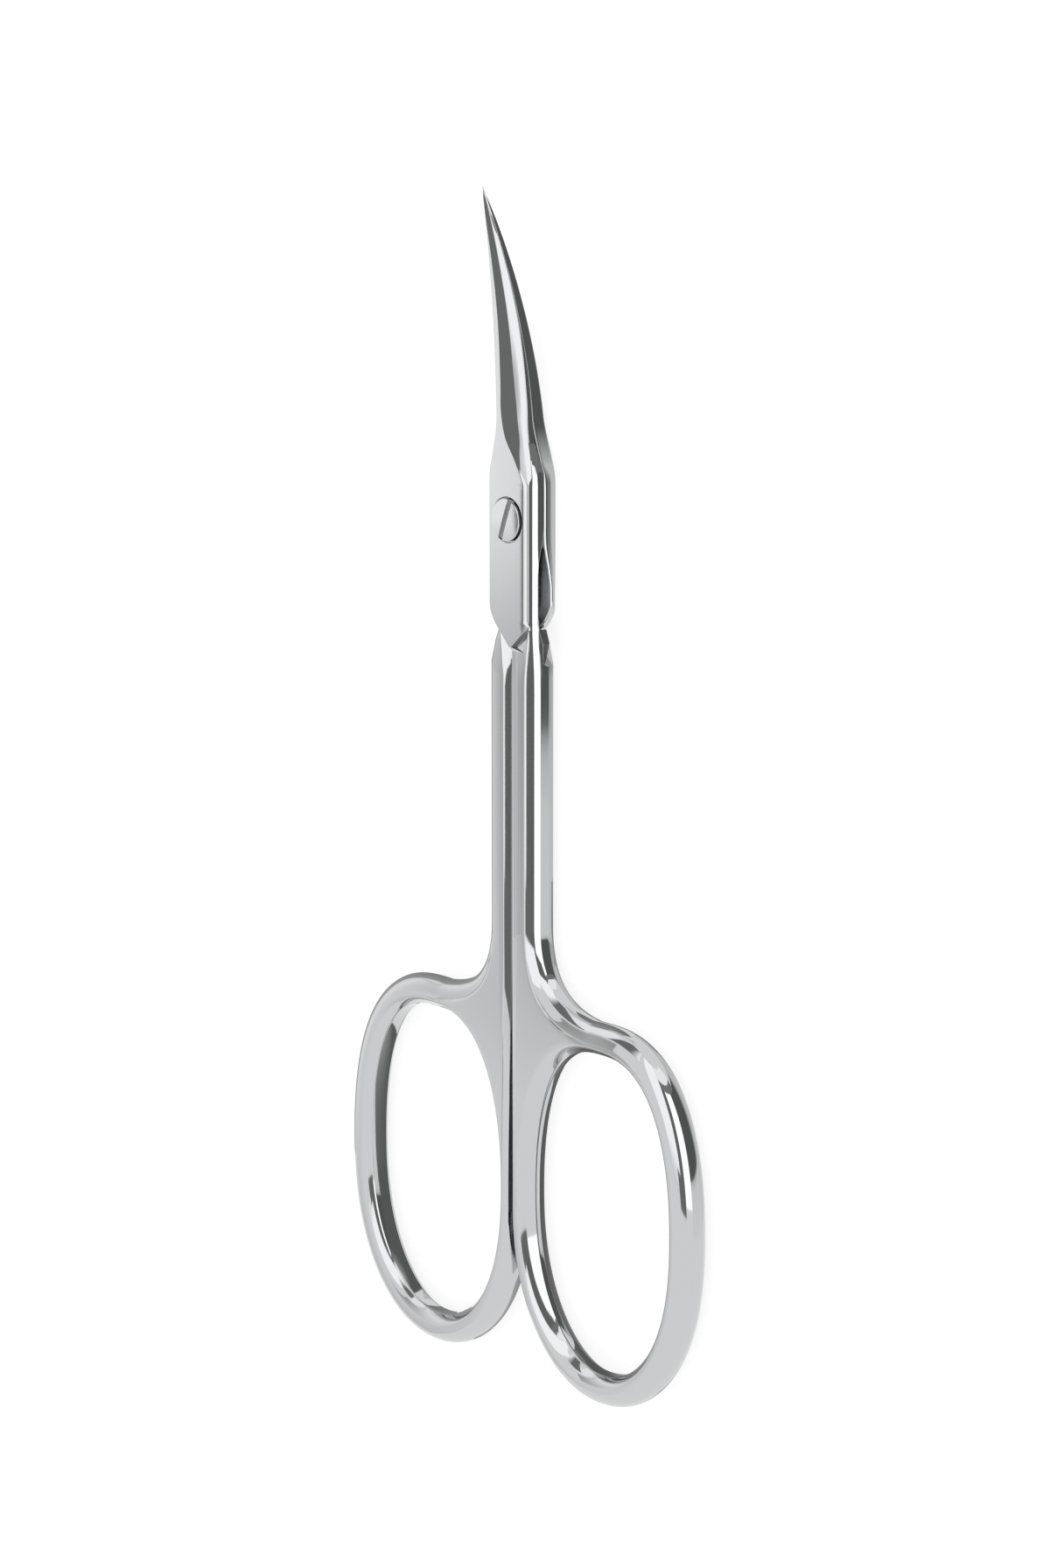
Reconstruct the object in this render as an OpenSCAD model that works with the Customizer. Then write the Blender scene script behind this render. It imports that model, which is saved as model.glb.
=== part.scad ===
// Nail scissors with curved blades: two forged steel halves that cross at a slotted screw.
// X runs across, Y towards the tips and Z out of the face that shows the screw's head.
// The origin is on the pivot's axis, in the flat back face that the scissors lie on.

/* [Joint] */
// Thickness of each half where they cross
lap_t = 1.45; // [1.4:0.05:1.8]
// Half width of the crossing plate at its outer face
lap_w = 2.05; // [1.9:0.05:2.6]
// Extra half width of the plate at the parting face
lap_draft = 0.4; // [0.1:0.05:0.6]
// From the pivot to the upper end of the plate's straight sides
lap_up = 2.6; // [2.2:0.1:3.4]
// From the pivot to where the plate's free side starts to turn in
lap_down = 6.2; // [5:0.1:7]
// From the pivot to the plate's lower point
lap_point = 9.4; // [9:0.1:11]
// Gap between the two halves at the parting face
run_gap = 0.04; // [0.03:0.01:0.08]
// Gap between the plate's free edge and the other half's shoulder
heel_gap = 0.15; // [0.1:0.05:0.3]
// Depth of the hollow ground under the plate's edges
relief_depth = 0.6; // [0.2:0.05:0.8]

/* [Blades] */
// From the pivot to the front blade's tip
tip_reach = 24; // [18:0.5:30]
// How much shorter the rear blade is
tip_lag = 0.5; // [0:0.1:1]
// From the pivot to the blade's neck
neck_reach = 7.6; // [6.5:0.1:9]
// Half width of the blade at its neck
neck_w = 1.38; // [1.1:0.02:1.7]
// Radius of the curve that lifts the tips
curve_radius = 68; // [50:1:200]
// From the pivot to where that curve starts
curve_start = 2; // [1.5:0.1:2.6]

/* [Shanks] */
// Gap between the two shanks
shank_gap = 0.5; // [0.3:0.05:0.9]
// Width of one shank
shank_w = 2.4; // [2.1:0.05:3]
// Thickness of one shank
shank_t = 2.5; // [2.2:0.05:2.7]
// Chamfer on the shank's inner rear edge
shank_chamfer = 0.2; // [0.1:0.02:0.4]
// The same chamfer up at the shoulder, where it is ground deeper
heel_chamfer = 0.8; // [0.4:0.05:0.9]
// From the pivot to where the shank starts to widen into the finger ring
shank_end = 30; // [22:0.5:38]

/* [Finger rings] */
// From the middle line to the ring's centre
ring_x = 9.52; // [9:0.1:11.5]
// From the pivot to the ring's centre
ring_y = 50.2; // [46:0.2:60]
// Half width of the ring, measured to the middle of its bar
ring_w = 8.9; // [8:0.1:10]
// Half length of the ring, measured to the middle of its bar
ring_l = 13.24; // [11:0.1:15]
// Width of the bar that forms the ring
bar_w = 2.33; // [1.8:0.05:3]
// Thickness of that bar
bar_t = 2.7; // [2.3:0.05:2.8]

/* [Pivot screw] */
// Diameter of the screw's head
head_d = 3.1; // [2.6:0.1:3.4]
// Height of the head over the plate
head_rise = 0.26; // [0.1:0.02:0.5]
// Depth of the head's seat in the plate
seat_depth = 0.4; // [0.2:0.05:0.6]
// Gap around the head in its seat
seat_gap = 0.06; // [0.04:0.01:0.1]
// Diameter of the plain part that the front half turns on
journal_d = 2.1; // [1.9:0.05:2.3]
// Radial gap between the plain part and the front half
journal_gap = 0.03; // [0.02:0.01:0.08]
// Diameter of the threaded end in the rear half
thread_d = 1.7; // [1.4:0.05:1.8]
// Width of the screwdriver slot
slot_w = 0.42; // [0.3:0.02:0.6]
// Depth of the slot
slot_depth = 0.42; // [0.2:0.02:0.5]
// Direction of the slot, from the Y axis towards X
slot_turn = 24; // [0:1:90]

/* [Hidden] */
round_steps = 64;
steel = [0.78, 0.79, 0.8];
screw_steel = [0.84, 0.84, 0.85];

// Levels measured from the parting plane, which is lap_t above the back face
gap_h = run_gap / 2;
face_z = shank_t / 2;
plate_step = lap_t - face_z;
inner_x = shank_gap / 2;
corner_share = 0.045;
corner = corner_share * lap_t;

function mix(a, b, q) = a + (b - a) * q;
function clamp01(q) = min(1, max(0, q));
function smooth(q) = let (k = clamp01(q)) k * k * (3 - 2 * k);

// Each half is one skin of closed loops that run from the tip to the finger ring. A loop has
// 28 points and starts at the inner front edge: 0 to 8 cross the front face, 8 to 14 go round
// the outer side, 14 to 22 come back over the rear face and 22 to 28 climb the inner side.
// On the blade, point 11 is the cutting edge and 12 to 22 lie on the parting face.
LOOP = 28;

// Outline of the crossing plate, with y counted down from the pivot. The free side runs
// straight, turns in on a curve and then goes in a straight line to the lower point.
bend_share = 0.47;
bend_turn_share = 0.28;
bend_y = mix(lap_down, lap_point, bend_share);
bend_x = mix(lap_w, -inner_x, bend_turn_share);
function free_x(y) =
    y < lap_down ? -lap_w
    : y < bend_y ? -mix(lap_w, bend_x, ((y - lap_down) / (bend_y - lap_down)) ^ 2)
    : mix(-bend_x, inner_x, (y - bend_y) / (lap_point - bend_y));
function free_y(x) = mix(bend_y, lap_point, (x + bend_x) / (inner_x + bend_x));

// Right edge of the plate's raised face, and the foot of the slope beside it
plate_edge_share = 0.9;
vee_start_share = 0.76;
foot_shares = [0.4, 1.6];
vee_start = vee_start_share * lap_point;
relief_w = lap_w / 2;
function plate_x(y) =
    mix(plate_edge_share * lap_w, inner_x, clamp01((y - vee_start) / (lap_point - vee_start)));
function foot_x(y) =
    plate_x(y) + plate_step * mix(foot_shares[0], foot_shares[1], smooth((y - vee_start) / relief_w));

// Corners of the outer side's two bevels, as shares of the shank's width and half thickness:
// on the shank, and on the rail that runs on beside the plate
bevel_x_shares = [0.61, 0.87, 1];
bevel_z_shares = [1, 0.74, 0.4];
rail_x_shares = [0.8, 0.89, 1.01];
rail_z_shares = [1, 0.91, 0.58];
function shank_x(i) = inner_x + shank_w * bevel_x_shares[i];
function rail_x(i) = inner_x + shank_w * rail_x_shares[i];

// Hollows under the plate: under its free edge, and under the rail
function free_relief(y) = relief_depth * smooth((y - relief_w) / (lap_down - lap_w));
function rail_relief(y) =
    relief_depth * smooth(y / lap_w / 2) * smooth((lap_point - y) / lap_w);

// One loop of the plate
function lap_loop(y) =
    let (x0 = free_x(y))
    let (xb = x0 - lap_draft * (1 - clamp01((y - lap_down) / (bend_y - lap_down))))
    let (xp = plate_x(y))
    let (zf = gap_h + free_relief(y))
    let (zr = gap_h + rail_relief(y))
    concat(
        [for (i = [0 : 6]) [mix(x0 + corner, xp, i / 6), -y, lap_t]],
        [[foot_x(y), -y, face_z]],
        [for (i = [0 : 2]) [rail_x(i), -y, face_z * rail_z_shares[i]]],
        [[rail_x(2), -y, zr + corner], [rail_x(2) - corner, -y, zr]],
        [[mix(rail_x(2), shank_x(0), 1 / 2), -y, mix(zr, gap_h, 1 / 2)]],
        [for (i = [0 : 7]) [mix(shank_x(0), min(xb + relief_w, inner_x), i / 7), -y, gap_h]],
        [[xb + corner, -y, zf], [xb, -y, zf + corner]],
        [for (i = [1 : 4]) [mix(xb, x0, i / 4), -y, mix(zf + corner, lap_t - corner, i / 4)]]
    );

// Blade: half width and thickness along it, and its facets as shares of them, first at the
// root and then at the tip
spine_share = 0.9;
width_power = 1.6;
thick_power = 0.68;
land_share = -0.36;
facet_x_shares = [[0.5, 0.3], [0.68, 0.98], [1.03, 1.03]];
facet_z_shares = [[0.66, 0.52], [0.36, 0.3], [0.03, 0.03]];
root_l = neck_reach - lap_up;
function along(y, reach) = clamp01((y - neck_reach) / (reach - neck_reach));
function blade_w(y, reach) =
    y < neck_reach ? mix(lap_w / spine_share, neck_w, smooth((y - lap_up) / root_l))
    : neck_w * (1 - along(y, reach) ^ width_power);
function blade_t(y, reach) = lap_t * (1 - clamp01((y - lap_up) / (reach - lap_up))) ^ thick_power;

// One loop of the blade, with y counted up from the pivot
land_run_share = 0.84;
function blade_loop(y, reach) =
    let (w = blade_w(y, reach))
    let (t = blade_t(y, reach))
    let (q = along(y, reach))
    let (x0 = -spine_share * w)
    let (xb = x0 * (1 + lap_draft / lap_w))
    let (e = corner * t / lap_t)
    let (root = smooth((y - lap_up) / root_l / land_run_share))
    let (land = mix(plate_edge_share * lap_w, land_share * w, root))
    let (fx = [for (s = facet_x_shares) w * mix(s[0], s[1], q)])
    let (fz = [for (s = facet_z_shares) t * mix(s[0], s[1], q) + gap_h])
    concat(
        [for (i = [0 : 6]) [mix(x0 + e, land, i / 6), y, t]],
        [for (i = [0 : 1]) [fx[i], y, fz[i]]],
        [for (i = [1 : 3]) [mix(fx[1], fx[2], i / 3), y, mix(fz[1], fz[2], i / 3)]],
        [for (i = [0 : 9]) [mix(fx[2] - e, xb + 2 * e, i / 9), y, gap_h]],
        [[xb + e, y, gap_h], [xb, y, gap_h + e]],
        [for (i = [1 : 4]) [mix(xb, x0, i / 4), y, mix(gap_h + e, t - e, i / 4)]]
    );

// The plate turns into the blade above lap_up: its foot slowly, its outer side at once
side_run_share = 0.34;
face_run_share = 0.62;
function turn(i, y) =
    i == 7 ? smooth((y - lap_up) / root_l / land_run_share)
    : i == 8 ? smooth((y - lap_up) / root_l / face_run_share)
    : i > 8 && i < 22 ? smooth((y - lap_up) / root_l / side_run_share)
    : 1;
function upper_loop(y, reach) =
    let (plate = lap_loop(-y))
    let (blade = blade_loop(y, reach))
    y <= lap_up ? plate : [for (i = [0 : LOOP - 1]) mix(plate[i], blade[i], turn(i, y))];

// Shoulder: below the plate the shank takes the full thickness. Its end follows the other
// half's plate to a peak and then slopes down the outer side.
peak_share = 0.4;
peak_x = inner_x + peak_share * shank_w;
peak_y = free_y(-peak_x) + heel_gap;
side_x = inner_x + shank_w;
flank_y = lap_point + lap_w / 2;
function heel_y(x) = x < peak_x ? free_y(-x) + heel_gap
    : mix(peak_y, flank_y, (x - peak_x) / (side_x - peak_x));

point_run = heel_gap;
function shoulder_top() =
    let (base = lap_loop(lap_point - point_run))
    let (xs = concat([side_x, mix(peak_x, side_x, 2 / 3), mix(peak_x, side_x, 1 / 3)],
        [for (i = [0 : 8]) mix(peak_x, inner_x, i / 8)]))
    [for (i = [0 : LOOP - 1]) i < 11 || i > 22 ? base[i]
        : [xs[i - 11], -heel_y(xs[i - 11]), i == 11 ? gap_h + corner : gap_h]];
function shoulder_foot() =
    let (base = shank_loop(lap_point + point_run, heel_chamfer))
    let (drop_shares = [0, 0.4, 0.9])
    let (xs = concat([side_x, mix(peak_x, side_x, 3 / 4), mix(peak_x, side_x, 2 / 5)],
        [for (i = [0 : 8]) mix(peak_x, inner_x + heel_chamfer, i / 8)]))
    [for (i = [0 : LOOP - 1]) i < 11 || i > 23 ? base[i]
        : i == 23 ? [inner_x, -heel_y(inner_x) - corner, base[i].z]
        : [xs[i - 11], -heel_y(xs[i - 11]) - corner,
           i < 14 ? -face_z * drop_shares[i - 11] : -face_z]];

// One loop of the shank, with y counted down from the pivot
function shank_loop(y, chamfer) = concat(
    [for (i = [0 : 8]) [mix(inner_x + corner, shank_x(0), i / 8), -y, face_z]],
    [for (i = [1 : 2]) [shank_x(i), -y, face_z * bevel_z_shares[i]]],
    [[side_x, -y, 0]],
    [for (i = [2 : -1 : 0]) [shank_x(i), -y, -face_z * bevel_z_shares[i]]],
    [for (i = [1 : 8]) [mix(shank_x(0), inner_x + chamfer, i / 8), -y, -face_z]],
    [for (i = [0 : 4]) [inner_x, -y, mix(chamfer - face_z, face_z - corner, i / 4)]]
);

// Finger ring: the middle of its bar is an oval, squarer at the top than at the bottom. The
// bar is half round outside and has a flat inner side between two ridges.
top_power = 2.45;
low_power = 2.1;
bar_x_shares = [0, 0.5, 0.87, 1, 0.87, 0.5, 0, -0.62, -1, -1, -1, -0.62];
bar_z_shares = [1, 0.87, 0.5, 0, -0.5, -0.87, -1, -0.86, -1, 0, 1, 0.86];
ridge_share = 0.3;
ridge_swing_share = 0.18;
BAR = 12;
function arm(v, power) = sign(v) * abs(v) ^ (2 / power);
function oval(a) = let (power = mix(low_power, top_power, (1 + sin(a)) / 2))
    [ring_x + ring_w * arm(cos(a), power), ring_l * arm(sin(a), power) - ring_y];
function outward(a) = let (d = oval(a + 1) - oval(a - 1)) [d.y, -d.x] / norm(d);
function bar_z(a, k) = bar_t / 2 * bar_z_shares[k]
    * (k == 8 || k == 10 ? ridge_share + ridge_swing_share * cos(a) : 1);
function bar_point(a, k) =
    let (p = oval(a) + outward(a) * bar_w / 2 * bar_x_shares[k])
    [max(p.x, inner_x), p.y, bar_z(a, k)];

// Web: the shank's loop spreads into the ring's outer side between two angles of the ring
web_low = 186;
web_high = 94;
web_slope = -6;
web_steps = 8;
web_pull_share = 1.4;
function web_angle(q) = mix(web_low, web_high, q);
function web_end(i) =
    i <= 8 ? bar_point(web_angle(i / 8), 0)
    : i <= 14 ? bar_point(web_high, i - 8)
    : i <= 22 ? bar_point(web_angle((22 - i) / 8), 6)
    : bar_point(web_low, LOOP - i);
function web_turn(i) = mix(-90, web_slope, clamp01(min(i, 22 - i) / 8) ^ 2);
function web_loop(q) =
    let (top = shank_loop(shank_end, shank_chamfer))
    [for (i = [0 : LOOP - 1])
        let (p = top[i])
        let (r = web_end(i))
        let (pull = norm(r - p) * web_pull_share)
        let (a = web_turn(i))
        p * (1 + q * q * (2 * q - 3)) + r * q * q * (3 - 2 * q)
            + [0, -pull, 0] * q * (1 - q) ^ 2 - [cos(a), sin(a), 0] * pull * q * q * (1 - q)];

// Stations of the loops, from the tip down
root_steps = 9;
blade_steps = 12;
tip_share = 0.985;
lap_stops = [-lap_up, -lap_up / 2, 0, lap_w, 2 * lap_w, mix(2 * lap_w, lap_down, 1 / 2),
    lap_down, mix(lap_down, bend_y, 1 / 2), bend_y];
shank_stop_shares = [0.3, 0.55, 0.8, 1];
shank_stops = concat([flank_y + lap_w / 4, flank_y + lap_w],
    [for (s = shank_stop_shares) mix(flank_y, shank_end, s)]);
function chamfer_at(y) = mix(heel_chamfer, shank_chamfer, smooth((y - lap_point) / lap_w));
function half_loops(reach) = concat(
    [for (i = [blade_steps : -1 : 1])
        upper_loop(mix(neck_reach, reach, tip_share * i / blade_steps), reach)],
    [for (i = [root_steps : -1 : 1]) upper_loop(lap_up + root_l * i / root_steps, reach)],
    [for (y = lap_stops) lap_loop(y)],
    [shoulder_top(), shoulder_foot()],
    [for (y = shank_stops) shank_loop(y, chamfer_at(y))],
    [for (i = [1 : web_steps]) web_loop(i / web_steps)]
);

// Places a point of a half: side is 1 for the front half and -1 for the rear one. The blades
// rise with the parting face, which is a surface of revolution about the pivot's axis.
function rise(r) = r <= curve_start ? 0
    : curve_radius - sqrt(curve_radius ^ 2 - (r - curve_start) ^ 2);
function place(p, i, side) =
    let (r = p.y > 0 && i > 11 && i < 23 ? norm([p.x, p.y]) : p.y)
    [side * p.x, p.y, lap_t + rise(r) + side * p.z];

ring_steps = 30;
function ring_angle(i) = mix(web_high, web_low - 360, i / ring_steps);

module half(side, reach) {
    loops = half_loops(reach);
    last = len(loops) - 1;
    tip = [0, reach, lap_t + rise(reach)];
    points = concat(
        [for (l = loops) for (i = [0 : LOOP - 1]) place(l[i], i, side)],
        [for (j = [1 : ring_steps - 1]) for (k = [0 : BAR - 1])
            place(bar_point(ring_angle(j), k), 0, side)],
        [for (j = [0 : 8]) for (k = [7 : BAR - 1])
            place(bar_point(web_angle(j / 8), k), 0, side)],
        [tip]
    );
    ring_base = LOOP * (last + 1);
    web_base = ring_base + BAR * (ring_steps - 1);
    tip_id = len(points) - 1;
    function web_id(j, k) = k % BAR == 0 ? LOOP * last + j
        : k == 6 ? LOOP * last + 22 - j
        : web_base + 5 * j + k - 7;
    function ring_id(j, k) =
        let (m = k % BAR)
        j == 0 ? (m <= 6 ? LOOP * last + 8 + m : web_id(8, m))
        : j == ring_steps ? (m <= 6 ? LOOP * last + (LOOP - m) % LOOP : web_id(0, m))
        : ring_base + BAR * (j - 1) + m;
    quads = concat(
        [for (j = [0 : last - 1]) for (i = [0 : LOOP - 1]) let (n = (i + 1) % LOOP)
            [LOOP * j + i, LOOP * j + n, LOOP * (j + 1) + n, LOOP * (j + 1) + i]],
        [for (j = [0 : ring_steps - 1]) for (k = [0 : BAR - 1])
            [ring_id(j, k), ring_id(j, k + 1), ring_id(j + 1, k + 1), ring_id(j + 1, k)]],
        [for (j = [0 : 7]) for (k = [6 : BAR - 1])
            [web_id(j, k), web_id(j, k + 1), web_id(j + 1, k + 1), web_id(j + 1, k)]]
    );
    faces = concat(
        [for (q = quads) [q[0], q[1], q[2]]],
        [for (q = quads) [q[0], q[2], q[3]]],
        [for (i = [0 : LOOP - 1]) [tip_id, (i + 1) % LOOP, i]]
    );
    polyhedron(points, faces, convexity = 6);
}

// Front half: its blade cuts on the right, and its bore and seat take the screw
module front_half() {
    seat_z = 2 * lap_t - seat_depth;
    color(steel)
    difference() {
        half(1, tip_reach);
        cylinder(h = 3 * lap_t, r = journal_d / 2 + journal_gap, $fn = round_steps);
        translate([0, 0, seat_z])
        cylinder(h = lap_t, r = head_d / 2 + seat_gap, $fn = round_steps);
    }
}

// Rear half: the same forging turned over, with a blade that cuts on the left and a tapped
// hole that holds the screw
module rear_half() {
    color(steel)
    difference() {
        half(-1, tip_reach - tip_lag);
        translate([0, 0, -lap_t])
        cylinder(h = 3 * lap_t, r = thread_d / 2, $fn = round_steps);
    }
}

// Pivot screw: threaded end, plain part, and a domed head with one slot
dome_share = 0.6;
module pivot_screw() {
    head_r = head_d / 2;
    seat_z = 2 * lap_t - seat_depth + gap_h;
    top_z = 2 * lap_t + head_rise;
    dome = dome_share * head_rise;
    dome_r = (head_r ^ 2 + dome ^ 2) / (2 * dome);
    dome_a = asin(head_r / dome_r);
    color(screw_steel)
    difference() {
        rotate_extrude($fn = round_steps)
        polygon(concat(
            [[0, 0], [thread_d / 2, 0], [thread_d / 2, lap_t - gap_h],
             [journal_d / 2, lap_t - gap_h], [journal_d / 2, seat_z], [head_r, seat_z]],
            [for (i = [0 : 8]) let (a = dome_a * (1 - i / 8))
                [i == 8 ? 0 : dome_r * sin(a), top_z - dome_r + dome_r * cos(a)]]
        ));
        rotate([0, 0, -slot_turn])
        translate([-slot_w / 2, -head_d, top_z - slot_depth])
        cube([slot_w, 2 * head_d, head_d]);
    }
}

front_half();
rear_half();
pivot_screw();
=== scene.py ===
# Nail scissors with curved blades, lying flat on a white floor with the screw's head up.
# Lengths are written in millimetres and become metres as each mesh is made.
import math

import bmesh
import bpy
import numpy as np
from mathutils import Matrix


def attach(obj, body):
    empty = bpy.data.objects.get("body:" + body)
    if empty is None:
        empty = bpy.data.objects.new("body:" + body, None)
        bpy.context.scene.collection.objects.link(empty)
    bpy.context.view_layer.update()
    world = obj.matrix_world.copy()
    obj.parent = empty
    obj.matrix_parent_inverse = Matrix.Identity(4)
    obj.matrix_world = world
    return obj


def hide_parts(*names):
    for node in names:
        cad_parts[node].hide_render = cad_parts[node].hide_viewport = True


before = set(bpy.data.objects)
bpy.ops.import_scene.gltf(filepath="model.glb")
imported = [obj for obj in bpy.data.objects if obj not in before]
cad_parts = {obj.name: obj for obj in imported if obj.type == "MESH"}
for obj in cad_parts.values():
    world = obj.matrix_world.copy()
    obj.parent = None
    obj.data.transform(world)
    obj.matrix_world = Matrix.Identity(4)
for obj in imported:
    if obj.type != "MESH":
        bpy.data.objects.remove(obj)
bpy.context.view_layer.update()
scene = bpy.context.scene
mm = 0.001


# Camera
# It looks down on the scissors from the right with a long lens, rolled so that the blades point
# up the picture. Its place was fitted to the outline of the rings, shanks and blades.
parting_z = 1.45
side_angle = math.radians(49.96)
rise_angle = math.radians(11.34)
camera_distance = 312.9
aim_right = 0.19
aim_up = -19.23
photo_height = 1792
focal_pixels = 4945.8
film_height = 36
near_clip = 10

back = np.array([math.sin(side_angle) * math.cos(rise_angle), math.sin(rise_angle),
                 math.cos(side_angle) * math.cos(rise_angle)])
right = np.array([math.cos(side_angle), 0, -math.sin(side_angle)])
up = np.cross(back, right)
eye = back * camera_distance + right * aim_right + up * aim_up + np.array([0, 0, parting_z])

camera_data = bpy.data.cameras.new("photo_camera")
camera_data.sensor_fit = "VERTICAL"
camera_data.sensor_height = film_height
camera_data.lens = focal_pixels * film_height / photo_height
camera_data.clip_start = near_clip * mm
camera = bpy.data.objects.new("photo_camera", camera_data)
camera.matrix_world = Matrix([[right[i], up[i], back[i], eye[i] * mm] for i in range(3)] + [[0, 0, 0, 1]])
scene.collection.objects.link(camera)
scene.camera = camera


# Forged halves: shape
# Each half is one steel forging: blade, crossing plate, shank and finger ring. Both come from the
# same die, one of them turned over, and their bevels and facets are ground on afterwards.

# Crossing plate, where the halves lap. Heights are counted from the plane where the halves meet.
lap_t = 1.45
lap_w = 2.05
lap_draft = 0.4
lap_up = 2.6
lap_down = 6.2
lap_point = 9.4
half_gap = 0.02
heel_gap = 0.15
relief_depth = 0.6
inner_x = 0.25
face_z = 1.25
corner = 0.065

# The skin is a run of closed loops of 28 corners, from the tip to the ring: 0 to 8 cross the front
# face, 8 to 14 go round the outer side, with its foot at 11, 14 to 22 come back over the rear face,
# and 22 to 28 climb the inner side, beside the gap.
loop_corners = 28
foot_corner = 11
inner_corner = 23


def mix(a, b, q):
    return a + (b - a) * q


def clamp01(q):
    return min(1.0, max(0.0, q))


def smooth(q):
    k = clamp01(q)
    return k * k * (3 - 2 * k)


def line(a, b, count, start=0, stop=None):
    """Points start to stop of count equal steps from a to b."""
    a, b = np.array(a, float), np.array(b, float)
    return [mix(a, b, i / count) for i in range(start, (count if stop is None else stop) + 1)]


# Outline of the crossing plate, with y counted down from the pivot
bend_down_share = 0.47
bend_in_share = 0.28
bend_y = mix(lap_down, lap_point, bend_down_share)
bend_x = mix(lap_w, -inner_x, bend_in_share)
rail_end = 7.14
rail_run = 5
vee_start = 7.7
vee_run = 0.3
vee_x = 2.2
vee_w = 0.24
relief_w = lap_w / 2
plate_edge = 1.763
ledge_x = 1.8
ledge_fall = 0.48
groove_depth = 0.14

# Corners of the outer side, from the front face down: beside the plate, and on the shank
rail_x = (2.135, 2.35, 2.541)
rail_z = (1.268, 1.01, 0.617)
shank_x = (1.745, 2.2, 2.45)
shank_z = (1.25, 0.74, 0.34)
belly_x = 2.56
belly_z = -0.3
rear_x = (2.4, 2.2, 1.92)
rear_z = (0.92, 1.1, 1.25)
side_x = 2.5


def free_x(y):
    """The plate's free side, which bends in to the plate's point."""
    if y < lap_down:
        return -lap_w
    if y < bend_y:
        return -mix(lap_w, bend_x, ((y - lap_down) / (bend_y - lap_down)) ** 2)
    return mix(-bend_x, inner_x, (y - bend_y) / (lap_point - bend_y))


def free_y(x):
    return mix(bend_y, lap_point, (x + bend_x) / (inner_x + bend_x))


def plate_side(y):
    """The plate's edge, the ledge beside it and the ledge's foot. Below vee_start the plate ends in
    a V, and the ledge's foot becomes a groove that parts it from the shank's face."""
    q = smooth((y - vee_start) / vee_run + 1)
    vee = mix(vee_x, inner_x, clamp01((y - vee_start) / (lap_point - vee_start)))
    top_x = mix(ledge_x, vee, q)
    top_z = min(lap_t, lap_t - (top_x - plate_edge) * ledge_fall)
    return [[min(plate_edge, top_x - vee_w / 2), -y, lap_t], [top_x, -y, top_z],
            [mix(rail_x[0] - corner, top_x + vee_w, q), -y, mix(rail_z[0], face_z - groove_depth, q)]]


def bevels(y):
    """Corners of the outer side, which change from the rail's to the shank's."""
    q = smooth((y - rail_end) / rail_run)
    return [(mix(a, b, q), mix(c, d, q)) for a, b, c, d in zip(rail_x, shank_x, rail_z, shank_z)]


rim_w = 0.09
rim_h = 0.15
knee_height_share = 0.45
knee_share = 0.5


def lap_loop(y):
    """The corners round the crossing plate."""
    top_x = free_x(y)
    foot_x = top_x - lap_draft * (1 - clamp01((y - lap_down) / (bend_y - lap_down)))
    foot_z = half_gap + relief_depth * smooth((y - relief_w) / (lap_down - lap_w))
    side = bevels(y)
    outer_x = side[2][0]
    outer_z = half_gap + relief_depth * smooth(y / lap_w / 2) * smooth((lap_point - y) / lap_w)
    face_x = rear_x[2]
    knee_z = mix(foot_z + rim_h, lap_t, knee_height_share)
    knee_x = mix(foot_x, top_x, knee_share * (knee_z - foot_z) / (lap_t - foot_z))
    ledge = plate_side(y)
    return np.array(
        line([top_x + corner, -y, lap_t], ledge[0], 5)
        + ledge[1:]
        + [[x, -y, z] for x, z in side]
        + [[outer_x, -y, outer_z + corner], [outer_x - corner, -y, outer_z]]
        + [[mix(outer_x, face_x, 0.5), -y, mix(outer_z, half_gap, 0.5)]]
        + line([face_x, -y, half_gap], [min(foot_x + relief_w, inner_x), -y, half_gap], 7)
        + [[foot_x + rim_w, -y, foot_z], [foot_x, -y, foot_z + rim_h], [knee_x, -y, knee_z]]
        + line([knee_x, -y, knee_z], [top_x, -y, lap_t - corner], 3, 1))


# Blade: half width and thickness along it. At each station the land's edge and the corners of the
# facets beside it are shares of the two: a hollow-ground slope, a bright facet, a narrow one and
# the upright edge.
tip_reach = 24
tip_lag = 0.5
neck_reach = 7.6
neck_w = 1.38
root_l = neck_reach - lap_up
width_taper = 1.6
thickness_taper = 0.68
curve_radius = 68
curve_start = 2
spine_share = 0.9
spine_draft = 1.1
land_shares = (0.822, 0.64, 0.327, -0.151, -0.46, -0.46, -0.364, -0.42, -0.85)
slope_x_shares = (0.922, 0.69, 0.6, 0.573, 0.514, 0.421, 0.463, 0.5, 0.78)
slope_z_shares = (0.879, 0.945, 0.903, 0.74, 0.721, 0.733, 0.69, 0.65, 0.55)
facet_x_shares = (0.937, 0.88, 0.82, 0.75, 0.744, 0.705, 0.739, 0.755, 0.9)
facet_z_shares = (0.874, 0.79, 0.73, 0.625, 0.58, 0.56, 0.455, 0.42, 0.4)
edge_x_shares = (1.032, 0.985, 0.965, 0.925, 0.975, 0.989, 1.01, 1.01, 1.01)
edge_z_shares = (0.697, 0.63, 0.56, 0.456, 0.384, 0.328, 0.173, 0.17, 0.17)
wall_x_shares = (1.115, 1.06, 1.01, 0.965, 1.01, 1.012, 1.02, 1.02, 1.02)
wall_z_shares = (0.426, 0.4, 0.3, 0.2, 0.18, 0.15, 0.09, 0.09, 0.09)
foot_x_shares = (1.115, 1.075, 1.035, 0.985, 1.025, 1.03, 1.03, 1.03, 1.03)
stations = (lap_up, lap_up + 0.8, lap_up + 2, lap_up + 3.3, neck_reach - 0.2, neck_reach + 2.2,
            neck_reach + 7.4, neck_reach + 11.4, tip_reach)
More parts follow.
